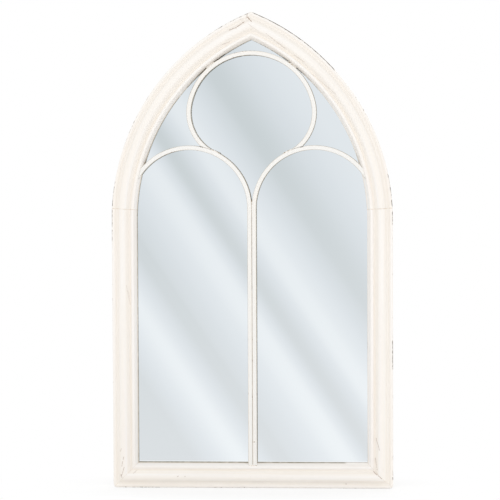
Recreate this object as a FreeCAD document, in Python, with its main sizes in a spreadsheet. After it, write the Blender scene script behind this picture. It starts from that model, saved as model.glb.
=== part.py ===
# Arched window mirror: a pointed-arch frame of hollow sheet-steel moulding, open at the back, with
# steel-bar tracery welded to its lip and one sheet of mirror seated behind the lip in a rebate.
#
# Frame of reference, in millimetres: the wall is the plane Y = 0, the mirror looks along -Y, Z is up,
# and the origin is on the wall plane at the middle of the bottom edge. A moulding's section is drawn
# with "inset", the distance from the frame's outer edge towards the opening, and "height", the
# distance in front of the wall.
import FreeCAD, Part
import math
import os
import Sketcher
from FreeCAD import Placement, Rotation, Vector

DRIVING_SIZES = {
    # outline of the frame
    "overall_width": 638,
    "spring_height": 610,  # level of the arch centres above the bottom edge
    "arch_radius": 506,  # outer edge; each centre lies across the middle line
    "seam_rise": 27,  # butt seam between stile and arch rail, above the spring level
    "corner_round": 4,
    # section of the moulding
    "sheet": 1.5,
    "bead_radius": 4,
    "outer_bead_height": 17,
    "ridge_inset": 27,
    "ridge_radius": 12,
    "ridge_height": 19,
    "cove_ease": 1.46,  # by how much a hollow's radius is more than half the gap between its rounds
    "valley_ease": 0.95,
    "inner_bead_inset": 48,
    "inner_bead_height": 21,
    "face_width": 58,
    "lip_wall": 3.5,  # upright edge of the lip, between its slope and the rebate flange
    "seat_height": 10.5,  # rebate flange that the glass bears on
    "rebate_inset": 43,  # rebate wall round the glass
    # what lies in the rebate, from the front to the back
    "tape": 1,
    "tape_width": 7,
    "glass": 3,
    "board": 2.5,
    "edge_play": 1,
    # tracery
    "bar_width": 10,
    "bar_depth": 10,
    "bar_chamfer": 1,
    "bar_lift": 3,  # air between the bars and the glass
    "light_rise": 27,  # spring of the light arches above that of the frame
    "light_radius": 137,
    "ring_radius": 143,
    "flank_elevation": 12.4,  # where the ring's round arc hands over to its flank
    "toe_angle": 5,
    "mullion_seam": 106,
    "weld_gap": 0.2,
    # fixings
    "plate": 2,
    "corner_leg": 90,
    "apex_leg": 60,
    "hanger_angle": 20,
    "hanger_spread": 4,
    "entry_radius": 5,
    "slot_radius": 2.5,
    "slot_rise": 11,
    "clip": 1,
    "clip_width": 14,
    "clip_leg": 6,
    "clip_reach": 9,
    "bumper_radius": 12,
}
STILE_CLIP_HEIGHTS = (140, 440)
ARCH_CLIP_ANGLES = (9, 32, 46)
RAIL_CLIP_OFFSET = 130
CUT_MARGIN = 20  # how far a cutting shape runs past what it cuts
# how many folds the roller leaves round bead, cove, ridge, valley and bead
VISIBLE_CHORDS = (5, 4, 7, 3, 4)
HIDDEN_CHORDS = (2, 2, 3, 2, 2)

doc = FreeCAD.newDocument("arched_window_mirror")
sheet = doc.addObject("Spreadsheet::Sheet", "sizes")
for row, (alias, number) in enumerate(DRIVING_SIZES.items(), start=1):
    sheet.set(f"A{row}", alias)
    sheet.set(f"B{row}", str(number))
    sheet.setAlias(f"B{row}", alias)
doc.recompute()


class Size:
    # a length, ratio or angle in degrees: its number now, and the formula that ties it to the sheet

    def __init__(self, value, text):
        self.value = value
        self.text = text

    def __add__(self, other):
        other = as_size(other)
        return Size(self.value + other.value, f"({self.text} + {other.text})")

    def __sub__(self, other):
        other = as_size(other)
        return Size(self.value - other.value, f"({self.text} - {other.text})")

    def __mul__(self, other):
        other = as_size(other)
        return Size(self.value * other.value, f"({self.text} * {other.text})")

    def __truediv__(self, other):
        other = as_size(other)
        return Size(self.value / other.value, f"({self.text} / {other.text})")

    def __neg__(self):
        return self * -1


def as_size(number):
    return number if isinstance(number, Size) else Size(number, f"({number})")


def root(size):
    return Size(math.sqrt(size.value), f"sqrt({size.text})")


def cosine(angle):
    return Size(math.cos(math.radians(angle.value)), f"cos({angle.text} * 1 deg)")


def sine(angle):
    return Size(math.sin(math.radians(angle.value)), f"sin({angle.text} * 1 deg)")


def arc_cosine(ratio):
    return Size(math.degrees(math.acos(ratio.value)), f"(acos({ratio.text}) / 1 deg)")


def arc_sine(ratio):
    return Size(math.degrees(math.asin(ratio.value)), f"(asin({ratio.text}) / 1 deg)")


class Named:
    # every driving size, read back from the sheet by its alias
    pass


size = Named()
for alias in DRIVING_SIZES:
    setattr(size, alias, Size(float(sheet.get(alias)), f"sizes.{alias}"))

derived = doc.addObject("App::VarSet", "derived")


def keep(label, result):
    # stores a worked-out size under a name, so that later formulas stay short
    derived.addProperty("App::PropertyFloat", label)
    derived.setExpression(label, result.text)
    return Size(result.value, f"derived.{label}")


ZERO = as_size(0)
half_width = keep("half_width", size.overall_width / 2)
centre_shift = keep("centre_shift", size.arch_radius - half_width)  # arch centre across the middle line
glass_front = keep("glass_front", size.seat_height - size.tape)
glass_back = keep("glass_back", glass_front - size.glass)
board_back = keep("board_back", glass_back - size.board)
bar_back = keep("bar_back", glass_front + size.bar_lift)
bar_front = keep("bar_front", bar_back + size.bar_depth)
seam_angle = keep("seam_angle", arc_sine(size.seam_rise / size.arch_radius))
apex_angle = keep("apex_angle", arc_cosine(centre_shift / size.arch_radius))
light_shift = keep("light_shift", size.light_radius + size.bar_width / 2)  # light arch centre from the middle
light_spring = keep("light_spring", size.spring_height + size.light_rise)

# the ring's outer edge touches the lip of both arch rails
lip_radius = size.arch_radius - size.face_width
ring_to_lip_centre = keep("ring_reach", lip_radius - size.weld_gap - size.ring_radius - size.bar_width / 2)
ring_rise = root(ring_to_lip_centre * ring_to_lip_centre - centre_shift * centre_shift)
ring_height = keep("ring_height", size.spring_height + ring_rise)


# ---- sketches and features ----

def origin_plane(body, role):
    return next(item for item in body.Origin.OriginFeatures if item.Role == role)


def new_body(name):
    body = doc.addObject("PartDesign::Body", name)
    body.Label = name
    return body


def new_sketch(body, name, role, base, axis=Vector(0, 0, 1), angle=ZERO):
    # a sketch on an origin plane, moved by base and turned about axis, both in that plane's own frame
    sketch = body.newObject("Sketcher::SketchObject", f"{body.Name}_{name}")
    sketch.AttachmentSupport = [(origin_plane(body, role), "")]
    sketch.MapMode = "FlatFace"
    offset = Vector(*[part.value for part in base])
    sketch.AttachmentOffset = Placement(offset, Rotation(axis, angle.value))
    for letter, part in zip("xyz", base):
        sketch.setExpression(f"AttachmentOffset.Base.{letter}", part.text)
    if angle is not ZERO:
        sketch.setExpression("AttachmentOffset.Rotation.Angle", f"{angle.text} * 1 deg")
    return sketch


def section_sketch(body, name, centre_x, centre_z, angle):
    # a plane that holds the wall's normal: x runs out from the given centre at that angle of
    # elevation, and y runs towards the wall
    return new_sketch(body, name, "XY_Plane", (centre_x, ZERO, centre_z), Vector(0, -1, 0), angle)


def front_sketch(body, name, height, centre_x=ZERO, centre_z=ZERO, angle=ZERO):
    # a plane parallel to the wall, at a height in front of it: x to the right and y up
    return new_sketch(body, name, "XZ_Plane", (centre_x, centre_z, height), Vector(0, 0, 1), angle)


def tie(sketch, kind, *parts):
    # a dimension of the sketch, bound to the sheet
    *where, length = parts
    index = sketch.addConstraint(Sketcher.Constraint(kind, *where, length.value))
    sketch.setExpression(f"Constraints[{index}]", length.text)


def pin(sketch, edge, point, x, y):
    tie(sketch, "DistanceX", -1, 1, edge, point, x)
    tie(sketch, "DistanceY", -1, 1, edge, point, y)


def join(sketch, kind, *pairs):
    for pair in pairs:
        sketch.addConstraint(Sketcher.Constraint(kind, *pair))


def flat(x, y):
    return Vector(x.value, y.value, 0)


def add_line(sketch, start, end):
    return sketch.addGeometry(Part.LineSegment(start, end), False)


def add_arc(sketch, centre, radius, start_angle, end_angle):
    circle = Part.Circle(centre, Vector(0, 0, 1), radius)
    return sketch.addGeometry(
        Part.ArcOfCircle(circle, math.radians(start_angle), math.radians(end_angle)), False
    )


def polygon(sketch, corners):
    first = None
    for index, (x, y) in enumerate(corners):
        following = corners[(index + 1) % len(corners)]
        edge = add_line(sketch, flat(x, y), flat(*following))
        first = edge if first is None else first
        pin(sketch, edge, 1, x, y)
    for index in range(len(corners)):
        after = first + (index + 1) % len(corners)
        join(sketch, "Coincident", (first + index, 2, after, 1))


def disc(sketch, x, y, radius):
    edge = sketch.addGeometry(Part.Circle(flat(x, y), Vector(0, 0, 1), radius.value), False)
    pin(sketch, edge, 3, x, y)
    tie(sketch, "Radius", edge, radius)


def chamfered_rectangle(sketch, left, right, low, high, chamfer):
    polygon(
        sketch,
        [
            (left + chamfer, low),
            (right - chamfer, low),
            (right, low + chamfer),
            (right, high - chamfer),
            (right - chamfer, high),
            (left + chamfer, high),
            (left, high - chamfer),
            (left, low + chamfer),
        ],
    )


def add_feature(body, kind, name, sketch, reverse=False, **values):
    feature = body.newObject(f"PartDesign::{kind}", f"{body.Name}_{name}")
    feature.Profile = sketch
    for key, value in values.items():
        if isinstance(value, Size):
            setattr(feature, key, value.value)
            feature.setExpression(key, value.text)
        else:
            setattr(feature, key, value)
    feature.Reversed = reverse
    body.Tip = feature
    return feature


def pad(body, name, sketch, length, reverse=False, middle=False):
    return add_feature(body, "Pad", name, sketch, reverse, Length=length, Midplane=middle)


def turn(body, name, sketch, angle, reverse=False, kind="Revolution"):
    # turns the section about its own y axis
    return add_feature(body, kind, name, sketch, reverse, ReferenceAxis=(sketch, ["V_Axis"]), Angle=angle)


def cut_through(body, name, sketch):
    before = body.Tip
    doc.recompute()
    volume = before.Shape.Volume
    feature = add_feature(body, "Pocket", name, sketch, Type="ThroughAll", Midplane=True)
    doc.recompute()
    if not feature.Shape.Volume < volume:
        raise RuntimeError(f"{feature.Name} cuts nothing")
    return feature


def mirrored(source, name):
    twin = doc.addObject("Part::Mirroring", name)
    twin.Label = name
    twin.Source = source
    twin.Base = Vector(0, 0, 0)
    twin.Normal = Vector(1, 0, 0)
    return twin


# ---- section of the moulding ----

def hollow_between(label, first, second, first_radius, second_radius, ease):
    # centre and radius of the arc that runs from one round to the next, touching both
    across = keep(f"{label}_across", second[0] - first[0])
    up = keep(f"{label}_up", second[1] - first[1])
    span = keep(f"{label}_span", root(across * across + up * up))
    radius = keep(f"{label}_radius", (span - first_radius - second_radius) / 2 + ease)
    near = first_radius + radius
    far = second_radius + radius
    along = keep(f"{label}_along", (near * near - far * far + span * span) / (span * 2))
    rise = keep(f"{label}_rise", root(near * near - along * along))
    x = keep(f"{label}_x", first[0] + (across * along - up * rise) / span)
    y = keep(f"{label}_y", first[1] + (up * along + across * rise) / span)
    return (x, y), radius


def bearing(label, start, end):
    # direction, in degrees, of a point that is higher up
    across = end[0] - start[0]
    up = end[1] - start[1]
    return keep(label, arc_cosine(across / root(across * across + up * up)))


def on_circle(centre, radius, angle):
    return centre[0] + radius * cosine(angle), centre[1] + radius * sine(angle)


def tangent_normal(label, foot, centre, radius):
    # direction from the centre to where a line up from the foot touches the circle's right side
    across = centre[0] - foot[0]
    up = centre[1] - foot[1]
    slant = arc_sine(radius / root(across * across + up * up))
    return keep(label, bearing(f"{label}_line", foot, centre) - slant - 90)


outer_bead = (size.bead_radius, size.outer_bead_height)
ridge = (size.ridge_inset, size.ridge_height)
inner_bead = (size.inner_bead_inset, size.inner_bead_height)
lip_height = keep("lip_height", size.seat_height + size.lip_wall)
foot = (size.face_width, lip_height)
cove, cove_radius = hollow_between(
    "cove", outer_bead, ridge, size.bead_radius, size.ridge_radius, size.cove_ease
)
valley, valley_radius = hollow_between(
    "valley", ridge, inner_bead, size.ridge_radius, size.bead_radius, size.valley_ease
)
outer_bead_end = bearing("outer_bead_end", outer_bead, cove)
ridge_start = bearing("ridge_start", ridge, cove)
ridge_end = bearing("ridge_end", ridge, valley)
inner_bead_start = bearing("inner_bead_start", inner_bead, valley)
lip_normal = tangent_normal("lip_normal", foot, inner_bead, size.bead_radius)


def chords(centre, radius, start, end, count):
    # points that divide an arc evenly
    step = (end - start) / count
    return [on_circle(centre, radius, start + step * index) for index in range(count + 1)]


def skin(depth, counts):
    # the sheet's bead, cove, ridge, valley and bead, on its visible side or at a depth inside it
    half_turn = 180
    return [
        *chords(outer_bead, size.bead_radius - depth, as_size(180), outer_bead_end, counts[0]),
        *chords(
            cove, cove_radius + depth, outer_bead_end + half_turn, ridge_start + half_turn, counts[1]
        )[1:-1],
        *chords(ridge, size.ridge_radius - depth, ridge_start, ridge_end, counts[2]),
        *chords(
            valley, valley_radius + depth, ridge_end + half_turn, inner_bead_start + half_turn, counts[3]
        )[1:-1],
        *chords(inner_bead, size.bead_radius - depth, inner_bead_start, lip_normal, counts[4]),
    ]


def moulding_corners():
    # closed section of the bent sheet, in inset and height: outer wall, skin, lip slope, lip wall,
    # rebate flange and rebate wall, then back along the hidden side one sheet thickness inside
    rebate = size.rebate_inset
    hidden_rebate = rebate - size.sheet
    hidden_flange = size.seat_height + size.sheet
    hidden_skin = skin(size.sheet, HIDDEN_CHORDS)
    hidden_lip = size.face_width - size.sheet
    slope_end = hidden_skin[-1]
    slope = cosine(lip_normal) / sine(lip_normal)
    return [
        (ZERO, ZERO),
        *skin(ZERO, VISIBLE_CHORDS),
        foot,
        (size.face_width, size.seat_height),
        (rebate, size.seat_height),
        (rebate, board_back),
        (hidden_rebate, board_back),
        (hidden_rebate, hidden_flange),
        (hidden_lip, hidden_flange),
        (hidden_lip, slope_end[1] - (hidden_lip - slope_end[0]) * slope),
        *reversed(hidden_skin),
        (size.sheet, ZERO),
    ]


MOULDING = moulding_corners()


def draw_moulding(sketch):
    polygon(sketch, [(size.arch_radius - inset, -height) for inset, height in MOULDING])


# ---- frame rails ----

def corner_polygon(body, name, corners):
    sketch = front_sketch(body, name, ZERO)
    for points in corners:
        polygon(sketch, points)
    return cut_through(body, f"{name}_cut", sketch)


def round_corner(body, name, side):
    # takes the sharp outer corner off, leaving an arc between the two outer walls
    sketch = front_sketch(body, name, ZERO)
    radius = size.corner_round
    outer = half_width * side
    inner = (half_width - radius) * side
    base = add_line(sketch, flat(inner, ZERO), flat(outer, ZERO))
    rise = add_line(sketch, flat(outer, ZERO), flat(outer, radius))
    start = 270 if side > 0 else 180
    bend = add_arc(sketch, flat(inner, radius), radius.value, start, start + 90)
    low, high = (1, 2) if side > 0 else (2, 1)
    join(sketch, "Coincident", (base, 2, rise, 1), (rise, 2, bend, high), (base, 1, bend, low))
    pin(sketch, base, 1, inner, ZERO)
    pin(sketch, base, 2, outer, ZERO)
    pin(sketch, rise, 2, outer, radius)
    tie(sketch, "Radius", bend, radius)
    return cut_through(body, f"{name}_cut", sketch)


mitre_reach = size.face_width + CUT_MARGIN

right_stile = new_body("right_stile")
stile_section = section_sketch(right_stile, "section", -centre_shift, size.spring_height, ZERO)
draw_moulding(stile_section)
pad(right_stile, "straight", stile_section, size.spring_height, reverse=True)
turn(right_stile, "start_of_arch", stile_section, seam_angle, reverse=True)
corner_polygon(
    right_stile,
    "mitre",
    [[(half_width, ZERO), (half_width - mitre_reach, mitre_reach), (half_width - mitre_reach, ZERO)]],
)
round_corner(right_stile, "corner", 1)

right_arch_rail = new_body("right_arch_rail")
arch_section = section_sketch(right_arch_rail, "section", -centre_shift, size.spring_height, seam_angle)
draw_moulding(arch_section)
turn(right_arch_rail, "arch", arch_section, apex_angle - seam_angle + 2, reverse=True)
apex_top = size.spring_height + size.arch_radius
corner_polygon(
    right_arch_rail,
    "apex_mitre",
    [
        [
            (ZERO, size.spring_height),
            (ZERO, apex_top),
            (-size.face_width, apex_top),
            (-size.face_width, size.spring_height),
        ]
    ],
)

bottom_rail = new_body("bottom_rail")
rail_section = section_sketch(bottom_rail, "section", ZERO, size.arch_radius, as_size(-90))
draw_moulding(rail_section)
pad(bottom_rail, "straight", rail_section, size.overall_width, middle=True)
corner_polygon(
    bottom_rail,
    "mitres",
    [
        [
            (half_width * side, ZERO),
            (half_width * side, mitre_reach),
            ((half_width - mitre_reach) * side, mitre_reach),
        ]
        for side in (1, -1)
    ],
)
for side, name in ((1, "right_corner"), (-1, "left_corner")):
    round_corner(bottom_rail, name, side)

left_stile = mirrored(right_stile, "left_stile")
left_arch_rail = mirrored(right_arch_rail, "left_arch_rail")


# ---- tracery bars ----

def draw_lip_cutter(sketch):
    # everything on the frame's side of the lip, one weld gap clear of it
    radius = size.bead_radius + size.weld_gap
    clear_lip = size.face_width + size.weld_gap
    crest = as_size(90)
    corners = [
        *chords(inner_bead, radius, crest, lip_normal, VISIBLE_CHORDS[4]),
        (clear_lip, lip_height),
        (clear_lip, size.seat_height),
        (as_size(-CUT_MARGIN), size.seat_height),
        (as_size(-CUT_MARGIN), size.inner_bead_height + radius),
    ]
    polygon(sketch, [(size.arch_radius - inset, -height) for inset, height in corners])


def cope_to_arches(body, name, sides):
    # hollows the ends of a bar to the lip of the arch rails
    for side in sides:
        base = centre_shift * -side
        start = ZERO if side > 0 else as_size(180)
        sketch = section_sketch(body, f"{name}_{'right' if side > 0 else 'left'}", base, size.spring_height, start)
        draw_lip_cutter(sketch)
        turn(body, f"{sketch.Name}_cut", sketch, apex_angle, reverse=side > 0, kind="Groove")


def cope_to_bottom_rail(body):
    sketch = section_sketch(body, "foot", ZERO, size.arch_radius, as_size(-90))
    draw_lip_cutter(sketch)
    cut_through(body, "foot_cut", sketch)


def draw_bar(sketch, centre):
    half = size.bar_width / 2
    chamfered_rectangle(sketch, centre - half, centre + half, -bar_front, -bar_back, size.bar_chamfer)


def light_bar(name, side, low, reaches_rail):
    # half of the mullion, and the pointed light's arch bent over from it to the arch rail's lip
    body = new_body(name)
    section = section_sketch(body, "section", light_shift * side, light_spring, ZERO)
    draw_bar(section, size.light_radius * -side)
    pad(body, "mullion", section, light_spring - low, reverse=True)
    turn(body, "arch", section, as_size(165), reverse=side < 0)
    cope_to_arches(body, "lip", (side,))
    if reaches_rail:
        cope_to_bottom_rail(body)
    return body


def mullion_foot(name, side):
    body = new_body(name)
    section = section_sketch(body, "section", light_shift * side, size.mullion_seam, ZERO)
    draw_bar(section, size.light_radius * -side)
    pad(body, "foot_bar", section, size.mullion_seam, reverse=True)
    cope_to_bottom_rail(body)
    return body


left_light_bar = light_bar("left_light_bar", -1, ZERO, True)
right_light_bar = light_bar("right_light_bar", 1, size.mullion_seam, False)
right_mullion_foot = mullion_foot("right_mullion_foot", 1)

# ring: a round arc over the top, then tighter flanks that touch both that arc and the light arches
light_drop = keep("light_drop", ring_height - light_spring)
towards_light = keep(
    "towards_light",
    light_shift * cosine(size.flank_elevation) - light_drop * sine(size.flank_elevation),
)
handover_across = size.ring_radius * cosine(size.flank_elevation) - light_shift
handover_up = size.ring_radius * sine(size.flank_elevation) + light_drop
handover_reach = keep(
    "handover_reach", root(handover_across * handover_across + handover_up * handover_up)
)
flank_radius = keep(
    "flank_radius",
    (handover_reach * handover_reach - size.light_radius * size.light_radius)
    / ((size.light_radius + size.ring_radius - towards_light) * 2),
)
flank_shift = keep("flank_shift", size.ring_radius - flank_radius)
flank_to_light = keep("flank_to_light", size.light_radius + flank_radius)
ring_to_light = keep("ring_to_light", root(light_shift * light_shift + light_drop * light_drop))


def triangle_angle(near, other, opposite):
    # the angle between two sides of a triangle
    return arc_cosine((near * near + other * other - opposite * opposite) / (near * other * 2))


flank_turn = triangle_angle(flank_shift, flank_to_light, ring_to_light)
flank_sweep = keep("flank_sweep", as_size(180) - flank_turn - size.toe_angle)

oculus_ring = new_body("oculus_ring")
ring_section = section_sketch(oculus_ring, "section", ZERO, ring_height, size.flank_elevation)
draw_bar(ring_section, size.ring_radius)
flank_axis = ring_section.addGeometry(
    Part.LineSegment(Vector(flank_shift.value, 0, 0), Vector(flank_shift.value, 10, 0)), True
)
join(ring_section, "Vertical", (flank_axis,))
pin(ring_section, flank_axis, 1, flank_shift, ZERO)
tie(ring_section, "DistanceY", -1, 1, flank_axis, 2, as_size(10))
turn(oculus_ring, "crown", ring_section, as_size(180) - size.flank_elevation * 2, reverse=True)
flank = turn(oculus_ring, "flank", ring_section, flank_sweep)
flank.ReferenceAxis = (ring_section, ["Axis0"])
flank_twin = oculus_ring.newObject("PartDesign::Mirrored", "oculus_ring_flank_twin")
flank_twin.Originals = [flank]
flank_twin.MirrorPlane = (origin_plane(oculus_ring, "YZ_Plane"), [""])
oculus_ring.Tip = flank_twin
ring_end_radius = size.light_radius + size.bar_width / 2 + size.weld_gap
for side, name in ((1, "right_end"), (-1, "left_end")):
    ring_end = front_sketch(oculus_ring, name, ZERO)
    disc(ring_end, light_shift * side, light_spring, ring_end_radius)
    cut_through(oculus_ring, f"{name}_cut", ring_end)


# ---- what lies in the rebate ----

def draw_outline(sketch, inset):
    # the frame's pointed-arch outline, moved inwards
    edge = half_width - inset
    radius = size.arch_radius - inset
    top = math.degrees(math.acos(centre_shift.value / radius.value))
    base = add_line(sketch, flat(-edge, inset), flat(edge, inset))
    right = add_line(sketch, flat(edge, inset), flat(edge, size.spring_height))
    right_arc = add_arc(sketch, flat(-centre_shift, size.spring_height), radius.value, 0, top)
    left_arc = add_arc(sketch, flat(centre_shift, size.spring_height), radius.value, 180 - top, 180)
    left = add_line(sketch, flat(-edge, size.spring_height), flat(-edge, inset))
    join(
        sketch,
        "Coincident",
        (base, 2, right, 1),
        (right, 2, right_arc, 1),
        (right_arc, 2, left_arc, 1),
        (left_arc, 2, left, 1),
        (left, 2, base, 1),
    )
    pin(sketch, base, 1, -edge, inset)
    pin(sketch, base, 2, edge, inset)
    pin(sketch, right, 2, edge, size.spring_height)
    pin(sketch, left, 1, -edge, size.spring_height)
    pin(sketch, right_arc, 3, -centre_shift, size.spring_height)
    pin(sketch, left_arc, 3, centre_shift, size.spring_height)


def pane(name, height, thickness, *insets):
    # a flat sheet in the frame's outline, with an opening of the same outline if a second inset is given
    body = new_body(name)
    sketch = front_sketch(body, "outline", height)
    for inset in insets:
        draw_outline(sketch, inset)
    pad(body, "sheet", sketch, thickness)
    return body


pane_inset = keep("pane_inset", size.rebate_inset + size.edge_play)
tape_inset = keep("tape_inset", size.face_width - size.edge_play)
mirror_glass = pane("mirror_glass", glass_back, size.glass, pane_inset)
seat_tape = pane("seat_tape", glass_front, size.tape, tape_inset - size.tape_width, tape_inset)
backing_board = pane("backing_board", board_back, size.board, pane_inset)


# ---- fixings on the back ----

plate_back = keep("plate_back", board_back - size.plate)
plate_inset = keep("plate_inset", size.sheet + size.weld_gap)


def clip(name, centre_x, centre_z, angle):
    # spring-steel angle on the rebate wall, its arm turned in over the backing board
    body = new_body(name)
    section = section_sketch(body, "section", centre_x, centre_z, angle)
    leg = size.rebate_inset - size.sheet - size.weld_gap
    arm = size.rebate_inset + size.clip_reach
    outside = leg - size.clip
    corners = [
        (outside, board_back - size.clip),
        (arm, board_back - size.clip),
        (arm, board_back),
        (leg, board_back),
        (leg, board_back + size.clip_leg),
        (outside, board_back + size.clip_leg),
    ]
    polygon(section, [(size.arch_radius - inset, -height) for inset, height in corners])
    pad(body, "angle", section, size.clip_width, middle=True)
    return body


def rail_angle(elevation, side):
    return elevation if side > 0 else as_size(180) - elevation


clips = []
for side, hand in ((-1, "left"), (1, "right")):
    for number, height in enumerate(STILE_CLIP_HEIGHTS, start=1):
        name = f"{hand}_stile_clip_{number}"
        clips.append(clip(name, centre_shift * -side, as_size(height), rail_angle(ZERO, side)))
    for number, angle in enumerate(ARCH_CLIP_ANGLES, start=1):
        name = f"{hand}_arch_clip_{number}"
        turned = rail_angle(as_size(angle), side)
        clips.append(clip(name, centre_shift * -side, size.spring_height, turned))
    offset = as_size(RAIL_CLIP_OFFSET * side)
    clips.append(clip(f"{hand}_bottom_clip", offset, size.arch_radius, as_size(-90)))


def hanger_plate(name, side):
    # steel plate across the hollow of the arch rail, with an upright keyhole for a screw in the wall
    body = new_body(name)
    base = centre_shift * -side
    turned = rail_angle(size.hanger_angle, side)
    outline = front_sketch(body, "outline", plate_back, base, size.spring_height, turned)
    inner = size.arch_radius - size.rebate_inset
    outer = size.arch_radius - plate_inset
    spread = size.hanger_spread
    ends = [
        (radius, radius * cosine(spread), radius * sine(spread)) for radius in (outer, inner)
    ]
    arcs = [
        add_arc(outline, Vector(0, 0, 0), radius.value, -spread.value, spread.value) for radius, _, _ in ends
    ]
    (_, outer_x, outer_y), (_, inner_x, inner_y) = ends
    high = add_line(outline, flat(outer_x, outer_y), flat(inner_x, inner_y))
    low = add_line(outline, flat(inner_x, -inner_y), flat(outer_x, -outer_y))
    join(
        outline,
        "Coincident",
        (arcs[0], 3, -1, 1),
        (arcs[1], 3, -1, 1),
        (arcs[0], 2, high, 1),
        (high, 2, arcs[1], 2),
        (arcs[1], 1, low, 1),
        (low, 2, arcs[0], 1),
    )
    for arc, (radius, _, y) in zip(arcs, ends):
        tie(outline, "Radius", arc, radius)
        tie(outline, "DistanceY", -1, 1, arc, 2, y)
        tie(outline, "DistanceY", -1, 1, arc, 1, -y)
    pad(body, "plate", outline, size.plate)

    middle = size.arch_radius - (plate_inset + size.rebate_inset) / 2
    x = middle * cosine(size.hanger_angle) * side
    y = middle * sine(size.hanger_angle)
    entry = front_sketch(body, "entry", ZERO, base, size.spring_height)
    disc(entry, x, y, size.entry_radius)
    cut_through(body, "entry_cut", entry)
    slot = front_sketch(body, "slot", ZERO, base, size.spring_height)
    draw_slot(slot, x, y, size.slot_radius, size.slot_rise)
    cut_through(body, "slot_cut", slot)
    return body


def draw_slot(sketch, x, y, radius, rise):
    top = y + rise
    base = add_line(sketch, flat(x - radius, y), flat(x + radius, y))
    right = add_line(sketch, flat(x + radius, y), flat(x + radius, top))
    bend = add_arc(sketch, flat(x, top), radius.value, 0, 180)
    left = add_line(sketch, flat(x - radius, top), flat(x - radius, y))
    join(sketch, "Coincident", (base, 2, right, 1), (left, 2, base, 1))
    join(sketch, "Tangent", (right, 2, bend, 1), (bend, 2, left, 1))
    join(sketch, "Vertical", (right,), (left,))
    pin(sketch, base, 1, x - radius, y)
    pin(sketch, base, 2, x + radius, y)
    tie(sketch, "DistanceY", -1, 1, bend, 3, top)


left_hanger_plate = hanger_plate("left_hanger_plate", -1)
right_hanger_plate = hanger_plate("right_hanger_plate", 1)


def corner_plate(name, side):
    # L of steel plate in the hollow behind a bottom mitre
    body = new_body(name)
    sketch = front_sketch(body, "outline", plate_back)
    corners = [
        (plate_inset, plate_inset),
        (size.corner_leg, plate_inset),
        (size.corner_leg, size.rebate_inset),
        (size.rebate_inset, size.rebate_inset),
        (size.rebate_inset, size.corner_leg),
        (plate_inset, size.corner_leg),
    ]
    polygon(sketch, [((half_width - across) * side, up) for across, up in corners])
    pad(body, "plate", sketch, size.plate)
    return body


def wall_bumper(name, side):
    pad_shape = doc.addObject("Part::Cylinder", name)
    pad_shape.Label = name
    middle = (plate_inset + size.rebate_inset) / 2
    x = (half_width - middle) * side
    pad_shape.Placement = Placement(Vector(x.value, 0, middle.value), Rotation(Vector(1, 0, 0), 90))
    pad_shape.setExpression("Radius", size.bumper_radius.text)
    pad_shape.setExpression("Height", plate_back.text)
    pad_shape.setExpression("Placement.Base.x", x.text)
    pad_shape.setExpression("Placement.Base.z", middle.text)
    return pad_shape


left_corner_plate = corner_plate("left_corner_plate", -1)
right_corner_plate = corner_plate("right_corner_plate", 1)
left_bumper = wall_bumper("left_bumper", -1)
right_bumper = wall_bumper("right_bumper", 1)

# chevron of steel plate in the hollow behind the apex mitre
apex_plate = pane("apex_plate", plate_back, size.plate, plate_inset, size.rebate_inset)
crown_rise = root(size.arch_radius * size.arch_radius - centre_shift * centre_shift)
crown = keep("crown", size.spring_height + crown_rise)
corner_polygon(
    apex_plate,
    "below",
    [
        [
            (-half_width, ZERO),
            (half_width, ZERO),
            (half_width, crown - size.face_width - size.apex_leg),
            (-half_width, crown - size.face_width - size.apex_leg),
        ]
    ],
)


# ---- checks and output ----

pieces = [
    bottom_rail,
    left_stile,
    right_stile,
    left_arch_rail,
    right_arch_rail,
    left_light_bar,
    right_light_bar,
    right_mullion_foot,
    oculus_ring,
    mirror_glass,
    seat_tape,
    backing_board,
    left_hanger_plate,
    right_hanger_plate,
    left_corner_plate,
    right_corner_plate,
    apex_plate,
    left_bumper,
    right_bumper,
    *clips,
]

doc.recompute()
for item in doc.Objects:
    if "Invalid" in item.State or "Error" in item.State:
        raise RuntimeError(f"{item.Name}: {item.State}")
for piece in pieces:
    if piece.Shape.isNull() or not piece.Shape.isValid():
        raise RuntimeError(f"{piece.Label} has no sound shape")
    if len(piece.Shape.Solids) != 1:
        raise RuntimeError(f"{piece.Label} has {len(piece.Shape.Solids)} solids")

os.makedirs("parts", exist_ok=True)
for piece in pieces:
    piece.Shape.exportStep(f"parts/{piece.Label}.step")
    box = piece.Shape.BoundBox
    print(
        f"{piece.Label}: {piece.Shape.Volume / 1000:.1f} cm3,"
        f" x {box.XMin:.1f}..{box.XMax:.1f}, y {box.YMin:.1f}..{box.YMax:.1f}, z {box.ZMin:.1f}..{box.ZMax:.1f}"
    )
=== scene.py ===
import math

import bmesh
import bpy
from mathutils import Matrix, Vector, noise


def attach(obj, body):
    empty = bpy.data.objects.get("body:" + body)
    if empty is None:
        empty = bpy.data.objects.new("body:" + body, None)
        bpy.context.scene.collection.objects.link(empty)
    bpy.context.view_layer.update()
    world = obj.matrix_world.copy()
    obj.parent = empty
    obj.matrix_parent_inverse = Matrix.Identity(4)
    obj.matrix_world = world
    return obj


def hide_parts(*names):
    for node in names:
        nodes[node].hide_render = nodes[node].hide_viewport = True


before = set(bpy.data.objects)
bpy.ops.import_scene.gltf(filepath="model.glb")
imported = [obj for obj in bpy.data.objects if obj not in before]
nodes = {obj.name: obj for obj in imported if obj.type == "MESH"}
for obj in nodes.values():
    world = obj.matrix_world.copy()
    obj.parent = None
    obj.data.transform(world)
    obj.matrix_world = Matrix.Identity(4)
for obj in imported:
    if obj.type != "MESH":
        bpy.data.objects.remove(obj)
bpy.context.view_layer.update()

scene = bpy.context.scene
print("frame loaded:", len(nodes), "nodes")

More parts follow.
